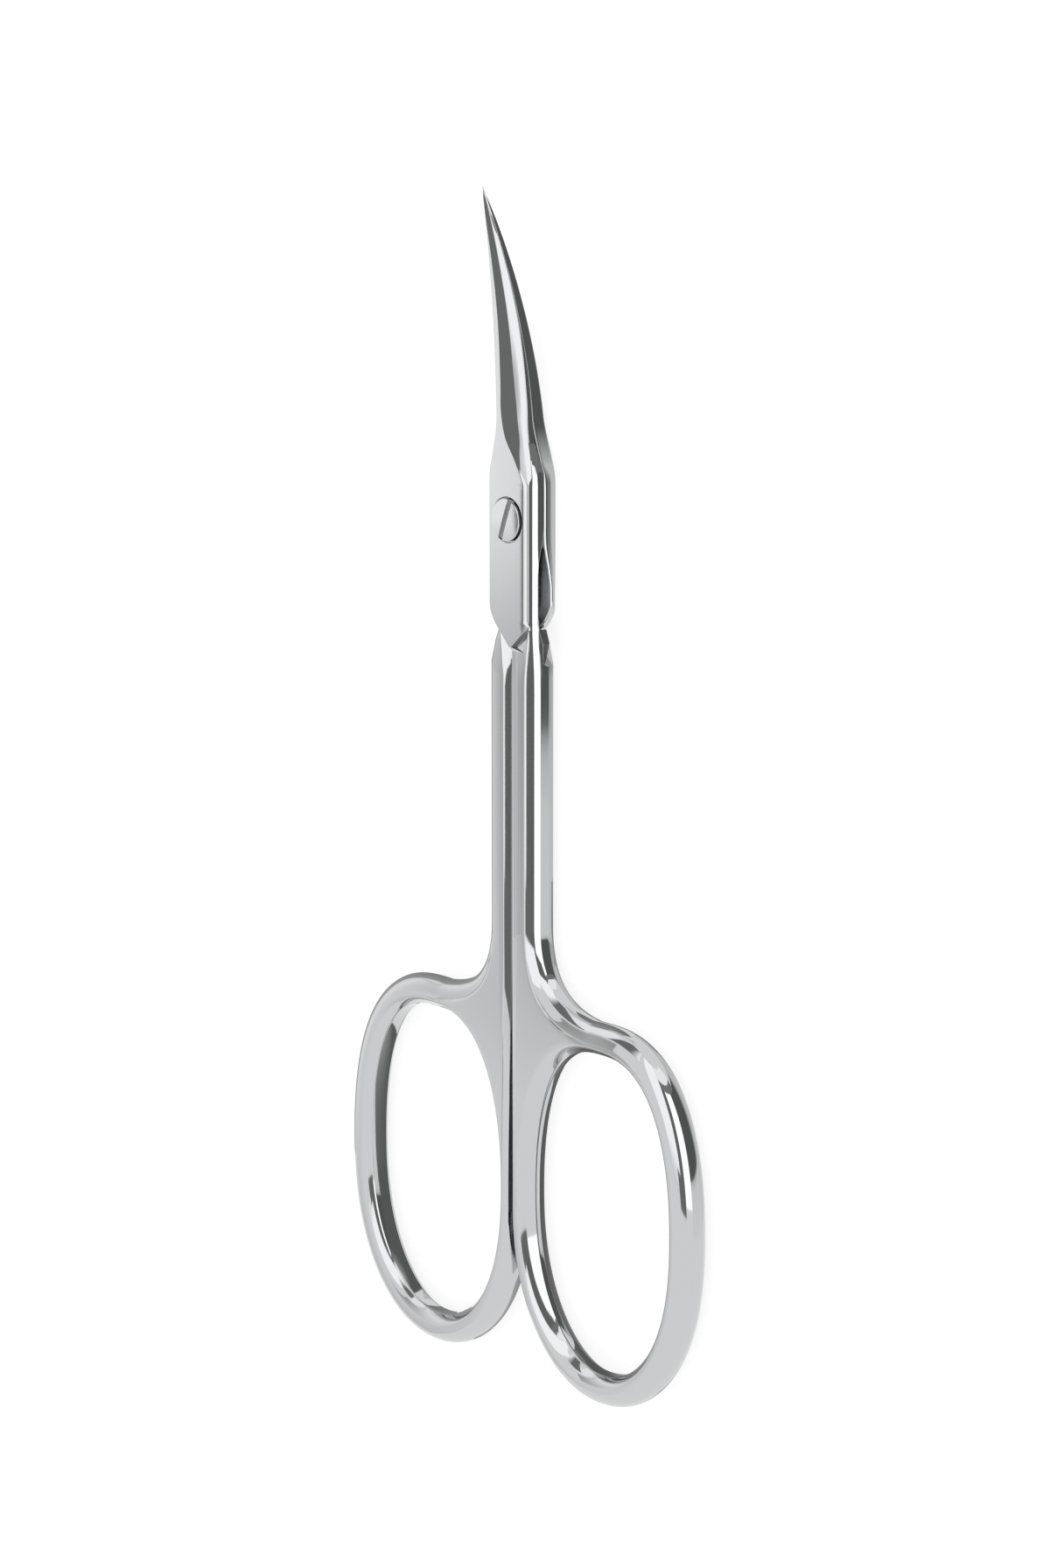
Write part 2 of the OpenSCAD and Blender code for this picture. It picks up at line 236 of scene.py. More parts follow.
facets = np.array([land_shares, slope_x_shares, slope_z_shares, facet_x_shares, facet_z_shares,
                   edge_x_shares, edge_z_shares, wall_x_shares, wall_z_shares, foot_x_shares]).T
facet_turns = np.gradient(facets, np.array(stations), axis=0)


def facets_at(y):
    """The facets' shares at y, on smooth curves through the stations."""
    i = max(n for n in range(len(stations) - 1) if n == 0 or stations[n] <= y)
    run = stations[i + 1] - stations[i]
    q = (y - stations[i]) / run
    return (facets[i] * (1 + q * q * (2 * q - 3)) + facets[i + 1] * q * q * (3 - 2 * q)
            + facet_turns[i] * run * q * (1 - q) ** 2 - facet_turns[i + 1] * run * q * q * (1 - q))


def blade_loop(y, reach):
    """The corners round a blade whose tip is at reach."""
    along = clamp01((y - neck_reach) / (reach - neck_reach))
    if y < neck_reach:
        w = mix(lap_w / spine_share, neck_w, smooth((y - lap_up) / root_l))
    else:
        w = neck_w * (1 - along ** width_taper)
    t = lap_t * (1 - clamp01((y - lap_up) / (reach - lap_up))) ** thickness_taper
    spine_x = -spine_share * w
    back_x = spine_x * mix(1 + lap_draft / lap_w, spine_draft, smooth((y - lap_up) / root_l))
    soft = corner * t / lap_t
    land, slope_x, slope_z, facet_x, facet_z, edge_x, edge_z, wall_x, wall_z, foot_x = facets_at(y)
    sides = ((slope_x, slope_z), (facet_x, facet_z), (edge_x, edge_z), (wall_x, wall_z))
    return np.array(
        line([spine_x + soft, y, t], [land * w, y, t], 6)
        + [[x * w, y, z * t] for x, z in sides]
        + [[foot_x * w, y, half_gap + soft]]
        + line([foot_x * w - soft, y, half_gap], [back_x + 2 * soft, y, half_gap], 9)
        + [[back_x + soft, y, half_gap], [back_x, y, half_gap + soft]]
        + line([back_x, y, half_gap + soft], [spine_x, y, t - soft], 4, 1))


root_turn = 3


def upper_loop(y, reach):
    """Above lap_up the front face and the facets are the blade's at once, and the corners from
    foot_corner on turn from the plate's shape to the blade's over a third of the root."""
    turn = smooth((y - lap_up) / root_l * root_turn)
    turns = np.array([1.0 if i < foot_corner else turn for i in range(loop_corners)])[:, None]
    return mix(lap_loop(-y), blade_loop(y, reach), turns)


# Shoulder and shank, with y counted down from the pivot. The shoulder is the step that follows the
# end of the other half's plate, and it peaks at peak_x.
shank_w = 2.4
face_crown = 0.045
shank_chamfer = 0.4
chamfer_tilt = 1.15
heel_chamfer = 0.8
heel_tilt = 0.8
shank_end = 30
peak_share = 0.4
peak_x = inner_x + peak_share * shank_w
peak_y = free_y(-peak_x) + heel_gap
flank_y = lap_point + lap_w / 2
flank_shares = (0.75, 0.4)
flank_drops = (0, 0.4, 0.9)
face_steps = 8


def heel_y(x):
    if x < peak_x:
        return free_y(-x) + heel_gap
    return mix(peak_y, flank_y, (x - peak_x) / (side_x - peak_x))


def shank_loop(y, chamfer):
    """The corners round the shank, with the chamfer that its inner side has at the back."""
    side = bevels(y)
    tilt = mix(chamfer_tilt, heel_tilt, (chamfer - shank_chamfer) / (heel_chamfer - shank_chamfer))
    crown = face_crown * smooth((y - lap_point) / lap_w)
    face_x = side[0][0]
    front = line([inner_x + corner, -y, face_z], [face_x, -y, face_z], face_steps)
    rear = line([rear_x[2], -y, -face_z], [inner_x + chamfer, -y, -face_z], face_steps)
    middle = face_steps / 2
    for i in range(face_steps + 1):
        front[i][2] += crown * (1 - (i / middle - 1) ** 2)
        rear[i][2] -= crown * (1 - (i / middle - 1) ** 2)
    return np.array(
        front
        + [[x, -y, z] for x, z in side[1:]]
        + [[belly_x, -y, belly_z]]
        + [[x, -y, -z] for x, z in zip(rear_x[:2], rear_z)]
        + rear
        + line([inner_x, -y, chamfer * tilt - face_z], [inner_x, -y, face_z - corner], 4))


def shoulder_top():
    """The plate's last loop, with its rear corners along the shoulder's upper edge."""
    loop = lap_loop(lap_point - heel_gap)
    xs = line(side_x, peak_x, 3, 0, 2) + line(peak_x, inner_x, face_steps)
    for i, x in enumerate(xs):
        loop[foot_corner + i] = [x, -heel_y(x), half_gap + (corner if i == 0 else 0)]
    return loop


def shoulder_foot():
    """The shank's first loop, with its rear corners along the shoulder's lower edge."""
    loop = shank_loop(lap_point + heel_gap, heel_chamfer)
    xs = [side_x] + [mix(peak_x, side_x, q) for q in flank_shares]
    xs += line(peak_x, inner_x + heel_chamfer, face_steps)
    drops = flank_drops + (face_steps + 1) * (1,)
    for i, x in enumerate(xs):
        loop[foot_corner + i] = [x, -heel_y(x) - corner, -face_z * drops[i]]
    loop[inner_corner][1] = -heel_y(inner_x) - corner
    return loop


# Each soft corner of a loop is ground to a small round. A dense loop has 110 points: 0 to 25 lie on
# the front face, 25 to 55 on the outer side, 55 to 80 on the rear face and 80 to 110 on the inner
# side. The list spot gives the place of each soft corner's middle among them.
soft_corners = (0, 6, 7, 8, 9, 10, 11, 12, 13, 14, 15, 16, 22, 23, 24, 25, 26, 27)
corner_rounds = {0: 0.1, 6: 0.03, 7: 0.06, 8: 0.12, 9: 0.06, 10: 0.1, 11: 0.1, 12: 0.1, 13: 0.1,
                 14: 0.1, 22: 0.06, 23: 0.06, 27: 0.1}
plain_round = 0.1
round_points = 5
round_limit = 0.3
shortest = 1e-9
front_run = 25
outer_run = 30
dense_points = 2 * (front_run + outer_run)
spot = [sum(round_points if i in soft_corners else 2 for i in range(n)) for n in range(loop_corners)]


def dense_loop(loop):
    """The dense points of a loop, starting at the middle of corner 0."""
    points = []
    for i in range(loop_corners):
        here, before, after = loop[i], loop[i - 1], loop[(i + 1) % loop_corners]
        if i not in soft_corners:
            points += [here, (here + after) / 2]
            continue
        r = corner_rounds.get(i, plain_round)
        a, b = before - here, after - here
        a = here + a * min(r / max(np.linalg.norm(a), shortest), round_limit)
        b = here + b * min(r / max(np.linalg.norm(b), shortest), round_limit)
        for k in range(round_points):
            u = k / (round_points - 1)
            points.append(a * (1 - u) ** 2 + here * 2 * u * (1 - u) + b * u * u)
    return np.roll(np.array(points), -(round_points // 2), axis=0)


# Finger ring: the middle of its bar is an oval, squarer at the top. The bar is round outside,
# with its crown a little inside the middle, and inside the ring it has a flat wall between two
# ridges. Along the top the shank's bevels run on and turn into the round.
ring_x = 9.52
ring_y = 50.2
ring_w = 8.9
ring_l = 13.24
foot_power = 2.1
top_power = 2.45
bar_w = 2.33
bar_t = 2.7
buff_depth = 0.03
bevel_share = 0.3
web_low = math.radians(186)
web_high = math.radians(94)
round_angle = math.radians(42)
angle_step = 0.01
crown_x = -0.2
crease_x = -0.4
front_crease = 0.03
rear_crease = 0.09
crease_shares = (0.15, 0.6, 1, 0.6, 0.15)
crease_reach = 2
shank_side = dense_loop(shank_loop(shank_end, shank_chamfer))[front_run:front_run + outer_run + 1]


def oval(a):
    power = mix(foot_power, top_power, (1 + math.sin(a)) / 2)
    c, s = math.cos(a), math.sin(a)
    return np.array([ring_x + ring_w * math.copysign(abs(c) ** (2 / power), c),
                     ring_l * math.copysign(abs(s) ** (2 / power), s) - ring_y])


def outward(a):
    d = oval(a + angle_step) - oval(a - angle_step)
    return np.array([d[1], -d[0]]) / np.linalg.norm(d)


def bar_place(a, across, z):
    p = oval(a) + outward(a) * across
    return np.array([max(p[0], inner_x), p[1], z])


def bevelled(a):
    """How much of the shank's bevels is left in the bar at an angle of the ring."""
    return smooth((a - round_angle) / (web_high - round_angle)) if a <= web_high else 0


def crown_at(a):
    if web_high < a <= web_low:
        return mix(crease_x, crown_x, smooth((a - web_high) / (web_low - web_high)))
    return mix(crown_x, crease_x, bevelled(a))


def bar_outer(a, k):
    """Point k of outer_run on the bar's outer side, from its front crown to its rear one. A shallow
    crease follows each crown where the bar meets the web."""
    turn = math.pi * k / outer_run
    c, w, h = crown_at(a), bar_w / 2 - buff_depth, bar_t / 2
    x, z = math.sin(turn), math.cos(turn)
    first = shank_side[0]
    bevel_x = (shank_side[k][0] - first[0]) / (belly_x - first[0])
    q = bevelled(a)
    bend = bevel_share * q
    height = h * mix(z, shank_side[k][2] / first[2], bend)
    if k <= crease_reach:
        height -= front_crease * q * crease_shares[crease_reach + k]
    if k >= outer_run - crease_reach:
        height += rear_crease * q * crease_shares[crease_reach + outer_run - k]
    return bar_place(a, c + (w - c) * mix(x, bevel_x, bend), height)


ridge_slope = math.radians(62)
ridge_share = 0.3
ridge_swing = 0.18
ridge_round = 0.07
ridge_lip = 0.012
wall_steps = 10


def bar_inner(a):
    """The points between the rear crown and the front crown, over the wall inside the ring."""
    c, w, h = crown_at(a), bar_w / 2, bar_t / 2
    ridge = h * (ridge_share + ridge_swing * math.cos(a))
    pull = min(c, (h - ridge) / math.tan(ridge_slope) - w)
    curve = []
    for i in range(1, wall_steps):
        u = i / wall_steps
        curve.append([c * (1 - u) ** 2 + pull * 2 * u * (1 - u) - w * u * u, h - (h - ridge) * u * u])
    curve += [[-w + ridge_lip, ridge + ridge_round / 2], [-w, ridge - ridge_round / 2]]
    half = [[x, -z] for x, z in curve] + [[-w, 0]] + [[x, z] for x, z in curve[::-1]]
    return [bar_place(a, x, z) for x, z in half]


# Web: the shank's loop spreads into the ring's outer side between two angles of the ring. Its
# creases deepen over the first half of the way.
web_slope = math.radians(-6)
web_pull_share = 1.4
web_steps = 30


def web_ends():
    """Where each point of the dense loop ends on the ring, and in which direction it arrives."""
    ends, turns = [], []
    for j in range(dense_points):
        if j <= front_run:
            ends.append(bar_outer(mix(web_low, web_high, j / front_run), 0))
            share = j / front_run
        elif j <= front_run + outer_run:
            ends.append(bar_outer(web_high, j - front_run))
            share = 1
        elif j <= 2 * front_run + outer_run:
            share = (2 * front_run + outer_run - j) / front_run
            ends.append(bar_outer(mix(web_low, web_high, share), outer_run))
        else:
            ends.append(bar_outer(web_low, dense_points - j))
            share = 0
        turns.append(mix(-math.pi / 2, web_slope, share ** 2))
    return np.array(ends), np.array(turns)


def web_loops(top):
    """Smooth curves from the shank's last loop to the ring."""
    ends, turns = web_ends()
    pull = np.linalg.norm(ends - top, axis=1)[:, None] * web_pull_share
    leave = np.array([[0, -1, 0]])
    arrive = np.stack([np.cos(turns), np.sin(turns), 0 * turns], axis=1)
    loops = []
    for step in range(1, web_steps + 1):
        q = step / web_steps
        loops.append(top * (1 + q * q * (2 * q - 3)) + ends * q * q * (3 - 2 * q)
                     + leave * pull * q * (1 - q) ** 2 - arrive * pull * q * q * (1 - q))
    for step, loop in enumerate(loops):
        sink = smooth((step + 1) / web_steps * 2)
        for place, depth in ((front_run, -front_crease), (front_run + outer_run, rear_crease)):
            for k, share in enumerate(crease_shares):
                loop[place - crease_reach + k][2] += depth * sink * share
    return loops


def rise(r):
    """How far the blades have curved up at a distance from the pivot."""
    return 0 if r <= curve_start else curve_radius - math.sqrt(curve_radius ** 2 - (r - curve_start) ** 2)


# The whole skin: how many loops each part has, and where its finishes change
blade_steps = 56
root_steps = 30
plate_steps = 20
point_steps = 14
shank_steps = 24
ring_steps = 110
tip_share = 0.99
foot_points = 4
relief_step = 9
vee_step = 4
heel_step = 2
# painted_shade is a dark steel that paints shade into the grooves, reliefs, steps and ridge lines.
finishes = ("polished", "ground", "painted_shade", "wheel")


def half_mesh(name, side, reach):
    """The skin of one half: side is 1 for the front half and -1 for the rear one."""
    loops = [upper_loop(mix(neck_reach, reach, tip_share * i / blade_steps), reach)
             for i in range(blade_steps, 0, -1)]
    loops += [upper_loop(lap_up + root_l * i / root_steps, reach) for i in range(root_steps, 0, -1)]
    loops += [lap_loop(y) for y in np.linspace(-lap_up, lap_down, plate_steps)]
    loops += [lap_loop(y) for y in np.linspace(lap_down, lap_point - heel_gap, point_steps)[1:-1]]
    loops += [shoulder_top(), shoulder_foot()]
    for y in np.linspace(lap_point + 2 * heel_gap, shank_end, shank_steps)[1:]:
        loops.append(shank_loop(y, mix(heel_chamfer, shank_chamfer, smooth((y - lap_point) / lap_w))))
    loops = [dense_loop(loop) for loop in loops]
    loops += web_loops(loops[-1])
    last = len(loops) - 1
    plate_row = blade_steps + root_steps
    relief_row = plate_row + relief_step
    vee_row = plate_row + plate_steps + vee_step
    shoulder = plate_row + plate_steps + point_steps - 2

    # The blades' inner faces curve up with their distance from the pivot, so that they slide past
    # each other as the pair opens. The rest of the skin curves up along Y.
    mating_start = front_run + outer_run // 2
    mating_end = 2 * front_run + outer_run + foot_points
    points = []
    for n, loop in enumerate(loops):
        for j, p in enumerate(loop):
            mating = n < plate_row and mating_start < j <= mating_end
            r = math.hypot(p[0], p[1]) if mating else max(p[1], 0)
            points.append([side * p[0], p[1], lap_t + rise(r) + side * p[2]])
    ring_base = len(points)
    angles = [mix(web_high, web_low - 2 * math.pi, i / ring_steps) for i in range(ring_steps + 1)]
    for i in range(1, ring_steps):
        for k in range(outer_run + 1):
            x, y, z = bar_outer(angles[i], k)
            points.append([side * x, y, lap_t + side * z])
    inner_base = len(points)
    across = len(bar_inner(0))
    walls = angles + [mix(web_low, web_high, j / front_run) for j in range(1, front_run)]
    for a in walls:
        for x, y, z in bar_inner(a):
            points.append([side * x, y, lap_t + side * z])
    tip = len(points)
    points.append([0, reach, lap_t + rise(reach)])

    def outer_id(i, k):
        if i == 0:
            return dense_points * last + front_run + k
        if i == ring_steps:
            return dense_points * last + (dense_points - k) % dense_points
        return ring_base + (outer_run + 1) * (i - 1) + k

    def wall_row(i):
        """One row over the inner wall, from the rear crown to the front crown."""
        row = [inner_base + across * i + k for k in range(across)]
        if i <= ring_steps:
            return [outer_id(i, outer_run)] + row + [outer_id(i, 0)]
        j = i - ring_steps
        return [dense_points * last + 2 * front_run + outer_run - j] + row + [dense_points * last + j]

    edge, ledge, ledge_foot, rail = spot[5], spot[6], spot[7], spot[8] - 1
    outer_foot, rear_face, relief, rear_end = spot[foot_corner], spot[14], spot[20], spot[22]
    inner_side = spot[inner_corner]

    def finish_of(n, j):
        """Which finish the skin has after loop n at place j of the loop."""
        if n < shoulder:
            if j < edge or (n > vee_row and (j < ledge - 1 or ledge_foot < j < rail)):
                return "ground"
            # Painted shade: the groove at the plate's V and the relief under the plate take the dark
            # steel.
            if n > vee_row and ledge <= j < ledge_foot:
                return "painted_shade"
            return "painted_shade" if n > relief_row and relief <= j < rear_end else "polished"
        # Painted shade: the shoulder's step under the end of the other half's plate takes the dark steel.
        if n == shoulder:
            return "painted_shade" if outer_foot <= j < inner_side else "polished"
        if j < rail:
            return "wheel" if n <= last - web_steps else "ground"
        if rear_face <= j < rear_end and n > shoulder + heel_step:
            return "ground"
        return "ground" if j >= inner_side else "polished"

    faces = [[tip, (j + 1) % dense_points, j] for j in range(dense_points)]
    kinds = ["polished"] * dense_points
    for n in range(last):
        here, below = dense_points * n, dense_points * (n + 1)
        for j in range(dense_points):
            m = (j + 1) % dense_points
            faces.append([here + j, here + m, below + m, below + j])
            kinds.append(finish_of(n, j))
    for i in range(ring_steps):
        for k in range(outer_run):
            faces.append([outer_id(i, k), outer_id(i, k + 1), outer_id(i + 1, k + 1), outer_id(i + 1, k)])
            kinds.append("polished")
    rows = [wall_row(i) for i in range(len(walls))]
    rows.append(rows[0])
    front_ridge = across - wall_steps
    # The strip of faces along the front ridge inside the ring takes the dark steel: a painted shade line.
    for a, b in zip(rows, rows[1:]):
        for k in range(across + 1):
            faces.append([a[k], a[k + 1], b[k + 1], b[k]])
            kinds.append("painted_shade" if k == front_ridge else "polished")

    mesh = bpy.data.meshes.new(name)
    mesh.from_pydata([[c * mm for c in p] for p in points], [], faces)
    for face, kind in zip(mesh.polygons, kinds):
        face.material_index = finishes.index(kind)
    return mesh


merge_gap = 0.0002
thinnest = 0.0001


def finish_mesh(obj, angle):
    """Merges doubled points, faces all normals out, and smooths all but the sharp edges."""
    work = bmesh.new()
    work.from_mesh(obj.data)
    bmesh.ops.remove_doubles(work, verts=work.verts, dist=merge_gap * mm)
    bmesh.ops.dissolve_degenerate(work, edges=work.edges, dist=thinnest * mm)
    bmesh.ops.recalc_face_normals(work, faces=work.faces)
    work.to_mesh(obj.data)
    work.free()
    obj.data.shade_smooth()
    obj.data.set_sharp_from_angle(angle=math.radians(angle))


def lathe(name, profile, steps=96):
    """A closed solid turned about the pivot's axis from (radius, height) pairs."""
    work = bmesh.new()
    rows = []
    for r, z in profile:
        turns = [2 * math.pi * i / steps for i in range(steps if r else 1)]
        rows.append([work.verts.new((r * mm * math.cos(a), r * mm * math.sin(a), z * mm))
                     for a in turns])
    for a, b in zip(rows, rows[1:]):
        for i in range(steps):
            n = (i + 1) % steps
            if len(a) == 1:
                work.faces.new((a[0], b[n], b[i]))
            elif len(b) == 1:
                work.faces.new((a[i], a[n], b[0]))
            else:
                work.faces.new((a[i], a[n], b[n], b[i]))
    bmesh.ops.recalc_face_normals(work, faces=work.faces)
    mesh = bpy.data.meshes.new(name)
    work.to_mesh(mesh)
    work.free()
    obj = bpy.data.objects.new(name, mesh)
    scene.collection.objects.link(obj)
    return obj


def cut(obj, cutter):
    """Takes the cutter's shape out of the object and drops the cutter."""
    modifier = obj.modifiers.new("cut", "BOOLEAN")
    modifier.operation = "DIFFERENCE"
    modifier.solver = "EXACT"
    modifier.object = cutter
    graph = bpy.context.evaluated_depsgraph_get()
    mesh = bpy.data.meshes.new_from_object(obj.evaluated_get(graph))
    obj.modifiers.clear()
    obj.data = mesh
    bpy.data.objects.remove(cutter)


# Forged halves: finish
# Hardened stainless steel: satin flats, with a grinding wheel's streaks along the shanks, blades
# and rings buffed almost to a mirror, and painted shade: a dark steel in the grooves, reliefs,
# steps and ridge lines where shade falls.
def socket_in(group, label, kind, value):
    socket = group.interface.new_socket(label, in_out="INPUT", socket_type=kind)
    socket.default_value = value


# The group's grain scales are counted per metre, and its depths in metres.
worked_steel = bpy.data.node_groups.new("worked_steel", "ShaderNodeTree")
socket_in(worked_steel, "Light Colour", "NodeSocketColor", (0.6, 0.605, 0.61, 1))
socket_in(worked_steel, "Dark Colour", "NodeSocketColor", (0.57, 0.575, 0.58, 1))
socket_in(worked_steel, "Smoothest", "NodeSocketFloat", 0.06)
socket_in(worked_steel, "Roughest", "NodeSocketFloat", 0.08)
socket_in(worked_steel, "Grain Scale", "NodeSocketVector", (9000, 500, 9000))
socket_in(worked_steel, "Grain Depth", "NodeSocketFloat", 4e-8)
socket_in(worked_steel, "Wave Depth", "NodeSocketFloat", 2e-6)
for label, kind in (("Colour", "NodeSocketColor"), ("Roughness", "NodeSocketFloat"),
                    ("Normal", "NodeSocketVector")):
    worked_steel.interface.new_socket(label, in_out="OUTPUT", socket_type=kind)
nodes, links = worked_steel.nodes, worked_steel.links
enter = nodes.new("NodeGroupInput")
leave = nodes.new("NodeGroupOutput")
place = nodes.new("ShaderNodeTexCoord")
stretch = nodes.new("ShaderNodeVectorMath")
stretch.operation = "MULTIPLY"
links.new(place.outputs["Object"], stretch.inputs[0])
links.new(enter.outputs["Grain Scale"], stretch.inputs[1])
grain = nodes.new("ShaderNodeTexNoise")
grain.inputs["Scale"].default_value = 1.0
grain.inputs["Detail"].default_value = 4.0
grain.inputs["Roughness"].default_value = 0.6
links.new(stretch.outputs["Vector"], grain.inputs["Vector"])
wave = nodes.new("ShaderNodeTexNoise")
wave.inputs["Scale"].default_value = 450.0
wave.inputs["Detail"].default_value = 1.0
links.new(place.outputs["Object"], wave.inputs["Vector"])
tint = nodes.new("ShaderNodeMix")
tint.data_type = "RGBA"
links.new(enter.outputs["Dark Colour"], tint.inputs["A"])
links.new(enter.outputs["Light Colour"], tint.inputs["B"])
links.new(grain.outputs["Fac"], tint.inputs["Factor"])
links.new(tint.outputs["Result"], leave.inputs["Colour"])
level = nodes.new("ShaderNodeMapRange")
level.inputs["From Min"].default_value = 0.3
level.inputs["From Max"].default_value = 0.7
links.new(grain.outputs["Fac"], level.inputs["Value"])
links.new(enter.outputs["Smoothest"], level.inputs["To Min"])
links.new(enter.outputs["Roughest"], level.inputs["To Max"])
links.new(level.outputs["Result"], leave.inputs["Roughness"])
waves = nodes.new("ShaderNodeBump")
waves.inputs["Strength"].default_value = 1.0
links.new(enter.outputs["Wave Depth"], waves.inputs["Distance"])
links.new(wave.outputs["Fac"], waves.inputs["Height"])
scratches = nodes.new("ShaderNodeBump")
scratches.inputs["Strength"].default_value = 1.0
links.new(enter.outputs["Grain Depth"], scratches.inputs["Distance"])
links.new(grain.outputs["Fac"], scratches.inputs["Height"])
links.new(waves.outputs["Normal"], scratches.inputs["Normal"])
links.new(scratches.outputs["Normal"], leave.inputs["Normal"])


def steel_material(name, light, dark, smoothest, roughest, grain_scale, grain_depth, wave_depth):
    """A steel whose colour, gloss and grain come from the worked_steel group."""
    material = bpy.data.materials.new(name)
    material.use_nodes = True
    nodes, links = material.node_tree.nodes, material.node_tree.links
    shader = nodes["Principled BSDF"]
    shader.inputs["Metallic"].default_value = 1.0
    surface = nodes.new("ShaderNodeGroup")
    surface.node_tree = worked_steel
    surface.inputs["Light Colour"].default_value = light
    surface.inputs["Dark Colour"].default_value = dark
    surface.inputs["Smoothest"].default_value = smoothest
    surface.inputs["Roughest"].default_value = roughest
    surface.inputs["Grain Scale"].default_value = grain_scale
    surface.inputs["Grain Depth"].default_value = grain_depth
    surface.inputs["Wave Depth"].default_value = wave_depth
    links.new(surface.outputs["Colour"], shader.inputs["Base Color"])
    links.new(surface.outputs["Roughness"], shader.inputs["Roughness"])
    links.new(surface.outputs["Normal"], shader.inputs["Normal"])
    return material


polished_steel = steel_material(
    "polished_steel", light=(0.6, 0.605, 0.61, 1), dark=(0.58, 0.585, 0.59, 1), smoothest=0.05,
    roughest=0.08, grain_scale=(9000, 500, 9000), grain_depth=3e-8, wave_depth=1.2e-6)
ground_steel = steel_material(
    "ground_steel", light=(0.61, 0.615, 0.62, 1), dark=(0.59, 0.595, 0.6, 1), smoothest=0.2,
    roughest=0.25, grain_scale=(12000, 500, 12000), grain_depth=1.2e-7, wave_depth=8e-7)
# A dark steel that paints shade where it falls, in grooves, reliefs, steps and along ridges.
painted_shade_steel = steel_material(
    "painted_shade_steel", light=(0.22, 0.22, 0.225, 1), dark=(0.12, 0.12, 0.125, 1), smoothest=0.25,
    roughest=0.4, grain_scale=(3500, 2200, 3500), grain_depth=1e-6, wave_depth=3e-6)
wheel_steel = steel_material(
    "wheel_steel", light=(0.9, 0.905, 0.91, 1), dark=(0.24, 0.245, 0.25, 1), smoothest=0.14,
    roughest=0.2, grain_scale=(1400, 12, 1400), grain_depth=1e-7, wave_depth=8e-7)

# In the order of finishes
half_steels = (polished_steel, ground_steel, painted_shade_steel, wheel_steel)


# Front half
# The forging that carries the right ring. Its blade cuts on the right, and its plate is bored
# and counterbored for the screw, with the seat's rim broken.
head_d = 3.1
head_rise = 0.26
seat_depth = 0.4
seat_gap = 0.09
journal_d = 2.1
journal_gap = 0.03
thread_d = 1.7
rim_break = 0.05
overrun = 1.0
skin_sharp = 40
cut_sharp = 30

front_half = bpy.data.objects.new("front_forging", half_mesh("front_forging", 1, tip_reach))
scene.collection.objects.link(front_half)
for steel in half_steels:
    front_half.data.materials.append(steel)
finish_mesh(front_half, skin_sharp)
seat_z = 2 * lap_t - seat_depth
seat_r = head_d / 2 + seat_gap
bore_r = journal_d / 2 + journal_gap
cut(front_half, lathe("seat_cutter", [
    (0, lap_t - overrun), (bore_r, lap_t - overrun), (bore_r, seat_z), (seat_r, seat_z),
    (seat_r, 2 * lap_t - rim_break), (seat_r + rim_break, 2 * lap_t),
    (seat_r + rim_break, 2 * lap_t + overrun), (0, 2 * lap_t + overrun)]))
finish_mesh(front_half, cut_sharp)
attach(front_half, "front")
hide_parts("front_half")


# Rear half
# The same forging turned over, with the left ring and a slightly shorter blade. Its tapped hole
# runs through the plate and is countersunk a little at the back, where the screw is peened.
rear_half = bpy.data.objects.new("rear_forging", half_mesh("rear_forging", -1, tip_reach - tip_lag))
scene.collection.objects.link(rear_half)
for steel in half_steels:
    rear_half.data.materials.append(steel)
finish_mesh(rear_half, skin_sharp)
cut(rear_half, lathe("tapping_cutter", [
    (0, -overrun), (thread_d / 2 + rim_break, -overrun), (thread_d / 2 + rim_break, 0),
    (thread_d / 2, rim_break), (thread_d / 2, lap_t + overrun), (0, lap_t + overrun)]))
finish_mesh(rear_half, cut_sharp)
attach(rear_half, "rear")
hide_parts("rear_half")


# Pivot screw
# A small turned steel screw. Its low domed head has one straight slot and a broken rim, and its
# threaded end is set in the rear half and dressed flush with the back.
end_chamfer = 0.04
slot_w = 0.48
slot_depth = 0.3
slot_lip = 0.015
slot_turn = math.radians(21)
dome = 0.22 * head_rise
dome_steps = 13
bevel_w = 0.05
bevel_h = 0.04
rim_fall = 0.02
rim_round = 0.01
head_r = head_d / 2
head_top = 2 * lap_t + head_rise
top_r = head_r - bevel_w
dome_r = (top_r ** 2 + dome ** 2) / (2 * dome)
rim_z = head_top - dome - bevel_h

screw_profile = [(0, 0), (thread_d / 2 - end_chamfer, 0), (thread_d / 2, end_chamfer),
                 (thread_d / 2, lap_t - half_gap), (journal_d / 2, lap_t - half_gap),
                 (journal_d / 2, seat_z + half_gap), (head_r, seat_z + half_gap),
                 (head_r, rim_z - rim_fall), (head_r - rim_round, rim_z + rim_round)]
for i in range(dome_steps):
    r = top_r * (1 - i / dome_steps)
    screw_profile.append((r, head_top - dome_r + math.sqrt(dome_r ** 2 - r ** 2)))
screw_profile.append((0, head_top))
pivot_screw = lathe("slotted_screw", screw_profile)

